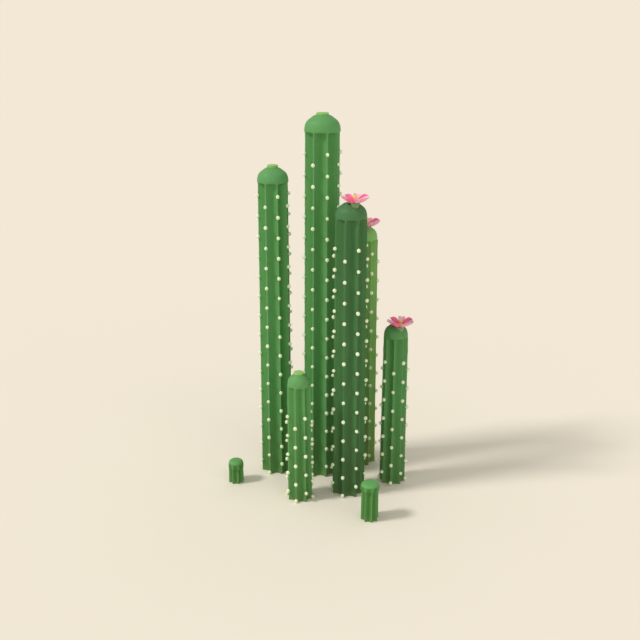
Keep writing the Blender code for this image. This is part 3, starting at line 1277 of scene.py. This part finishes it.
@dataclass(frozen=True)
class Lamp:
    """A light from far away.

    Its strength is the brightness that it gives to a white face turned to it. Its bearing, from the
    front towards the right, its elevation and its softness are in degrees.
    """

    name: str
    strength: float
    bearing: float
    elevation: float
    softness: float
    glossy: bool
    color: Color = (1.0, 0.985, 0.95)

    def on_floor(self) -> float:
        """The brightness that it gives to a white floor."""
        return self.strength * math.sin(math.radians(self.elevation))

    def build(self) -> None:
        """Adds the light."""
        lamp = bpy.data.lights.new(self.name, "SUN")
        lamp.energy = self.strength * math.pi
        lamp.angle = math.radians(self.softness)
        lamp.color = self.color
        obj = new_object(self.name, lamp)
        turn, rise = math.radians(self.bearing), math.radians(self.elevation)
        flat = math.cos(rise)
        source = Vector((math.sin(turn) * flat, -math.cos(turn) * flat, math.sin(rise)))
        obj.rotation_mode = "QUATERNION"
        obj.rotation_quaternion = source.to_track_quat("Z", "Y")
        obj.visible_glossy = self.glossy


@dataclass(frozen=True)
class Studio:
    """A plain pale floor, soft light from the upper left, and the camera."""

    backdrop: Color = (242, 232, 213)
    sky: Color = (1.0, 0.975, 0.93)
    sky_share: float = 0.56
    key: Lamp = Lamp("key", 0.54, bearing=-75.0, elevation=46.0, softness=11.0, glossy=True)
    fill: Lamp = Lamp("fill", 0.15, bearing=25.0, elevation=22.0, softness=70.0, glossy=False)
    floor_half: float = 120.0
    floor_white: float = 0.98
    eye: tuple[float, float, float] = (-0.01756, -9.625, 5.1282)
    pitch: float = 18.45
    field_of_view: float = 40.0

    def floor(self) -> Object:
        """Makes the floor, as bright as the backdrop under this light.

        Returns:
            The floor.
        """
        half = self.floor_half
        corners = [(-half, -half, 0), (half, -half, 0), (half, half, 0), (-half, half, 0)]
        mesh = bpy.data.meshes.new("floor")
        mesh.from_pydata(corners, [], [(0, 1, 2, 3)])
        made = bpy.data.materials.new("studio floor")
        made.use_nodes = True
        lamps = self.key.on_floor() + self.fill.on_floor()
        light = np.array(self.sky) * self.sky_share + np.array(self.key.color) * lamps
        color = np.minimum(np.array(linear(self.backdrop)[:3]) / light, self.floor_white)
        values = {"Base Color": (*color, 1.0), "Roughness": 1.0, "Specular IOR Level": 0.0}
        for label, value in values.items():
            made.node_tree.nodes["Principled BSDF"].inputs[label].default_value = value
        mesh.materials.append(made)
        return new_object("studio_floor", mesh)

    def world(self) -> None:
        """An even sky: what the camera sees is the backdrop, what lights the plant is dimmer."""
        world = bpy.data.worlds.new("studio")
        bpy.context.scene.world = world
        world.use_nodes = True
        world.node_tree.nodes.clear()
        graph = Graph(world.node_tree)
        seen = graph.node("ShaderNodeBackground", {"Color": linear(self.backdrop), "Strength": 1.0})
        sky = {"Color": (*self.sky, 1.0), "Strength": self.sky_share}
        lit = graph.node("ShaderNodeBackground", sky)
        path = graph.node("ShaderNodeLightPath")
        both = graph.node("ShaderNodeMixShader", {0: path.outputs["Is Camera Ray"], 1: lit, 2: seen})
        graph.node("ShaderNodeOutputWorld", {"Surface": both})

    def camera(self) -> None:
        """The camera, in front of the clump and above it."""
        data = bpy.data.cameras.new("camera")
        data.sensor_width = 36.0
        data.lens = data.sensor_width / 2 / math.tan(math.radians(self.field_of_view / 2))
        data.clip_end = 400.0
        obj = new_object("camera", data)
        obj.location = self.eye
        obj.rotation_euler = (math.radians(90.0 - self.pitch), 0.0, 0.0)
        bpy.context.scene.camera = obj

    def build(self) -> None:
        """Sets up the studio."""
        self.floor()
        self.world()
        self.key.build()
        self.fill.build()
        self.camera()
        bpy.context.scene.view_settings.view_transform = "Standard"
        bpy.context.scene.view_settings.look = "None"


# ---------- the clump

STEMS = (
    Stem(
        name="tall_stem", x=0.0, y=0.0, lean=0.009, foot=0.2156, neck=0.1951, rim=4.062, cap=0.1980,
        cap_height=0.1800, turn=-29.5, skin=MID_SKIN, rows=17, low=0.13, low_next=0.63,
    ),
    Stem(
        name="left_stem", x=-0.5378, y=0.0439, foot=0.1905, neck=0.1720, rim=3.511, cap=0.1740,
        cap_height=0.1600, turn=-25.7, skin=MID_SKIN, rows=15, low=0.12, low_next=0.62,
    ),
    Stem(
        name="front_stem", x=0.3106, y=-0.5097, foot=0.1928, neck=0.1774, rim=3.226, cap=0.1700,
        cap_height=0.1625, turn=-20.5, skin=DARK_SKIN, rows=13, low=0.11, low_next=0.61,
    ),
    Stem(
        name="back_stem", x=0.4699, y=0.2464, foot=0.1928, neck=0.1774, rim=2.826, cap=0.1714,
        cap_height=0.1510, turn=-10.8, skin=OLIVE_SKIN, rows=12, low=0.11, low_next=0.61,
    ),
    Stem(
        name="right_stem", x=0.8398, y=-0.2618, foot=0.1495, neck=0.1375, rim=1.816, cap=0.1353,
        cap_height=0.1448, turn=-55.5, skin=RIGHT_SKIN, rows=7, low=0.65, low_next=0.15,
    ),
    Stem(
        name="short_stem", x=-0.2449, y=-0.6699, lean=-0.007, foot=0.1448, neck=0.1332, rim=1.388,
        cap=0.1240, cap_height=0.1380, turn=-16.6, skin=SHORT_SKIN, rows=5, low=0.01, low_next=0.508,
    ),
    Stem(
        name="left_shoot", x=-1.0109, y=-0.3003, foot=0.0905, neck=0.0875, rim=0.1860, cap=0.0885,
        cap_height=0.0960, turn=-24.0, skin=YOUNG_SKIN,
    ),
    Stem(
        name="right_shoot", x=0.5257, y=-1.1411, foot=0.0985, neck=0.0955, rim=0.3640, cap=0.1030,
        cap_height=0.0810, turn=-34.0, skin=YOUNG_SKIN,
    ),
)
BY_NAME = {stem.name: stem for stem in STEMS}
TIPS = (
    GrowthTip("tall_growth_tip", BY_NAME["tall_stem"], 0.0684, 0.019),
    GrowthTip("left_growth_tip", BY_NAME["left_stem"], 0.0600, 0.026),
    GrowthTip("short_growth_tip", BY_NAME["short_stem"], 0.0540, 0.020),
)
FLOWERS = (
    Flower("front_flower", BY_NAME["front_stem"], 0.0377, 0.0800, 0.007),
    Flower("back_flower", BY_NAME["back_stem"], 0.0480, 0.0650, 0.003),
    Flower("right_flower", BY_NAME["right_stem"], 0.0393, 0.0690, -0.006),
)


def main() -> None:
    """Builds every piece in order, then the studio."""
    logging.basicConfig(level=logging.INFO, format="%(message)s", stream=sys.stdout)
    for part in (*STEMS, *TIPS, *FLOWERS, Studio()):
        part.build()


if __name__ == "__main__":
    main()
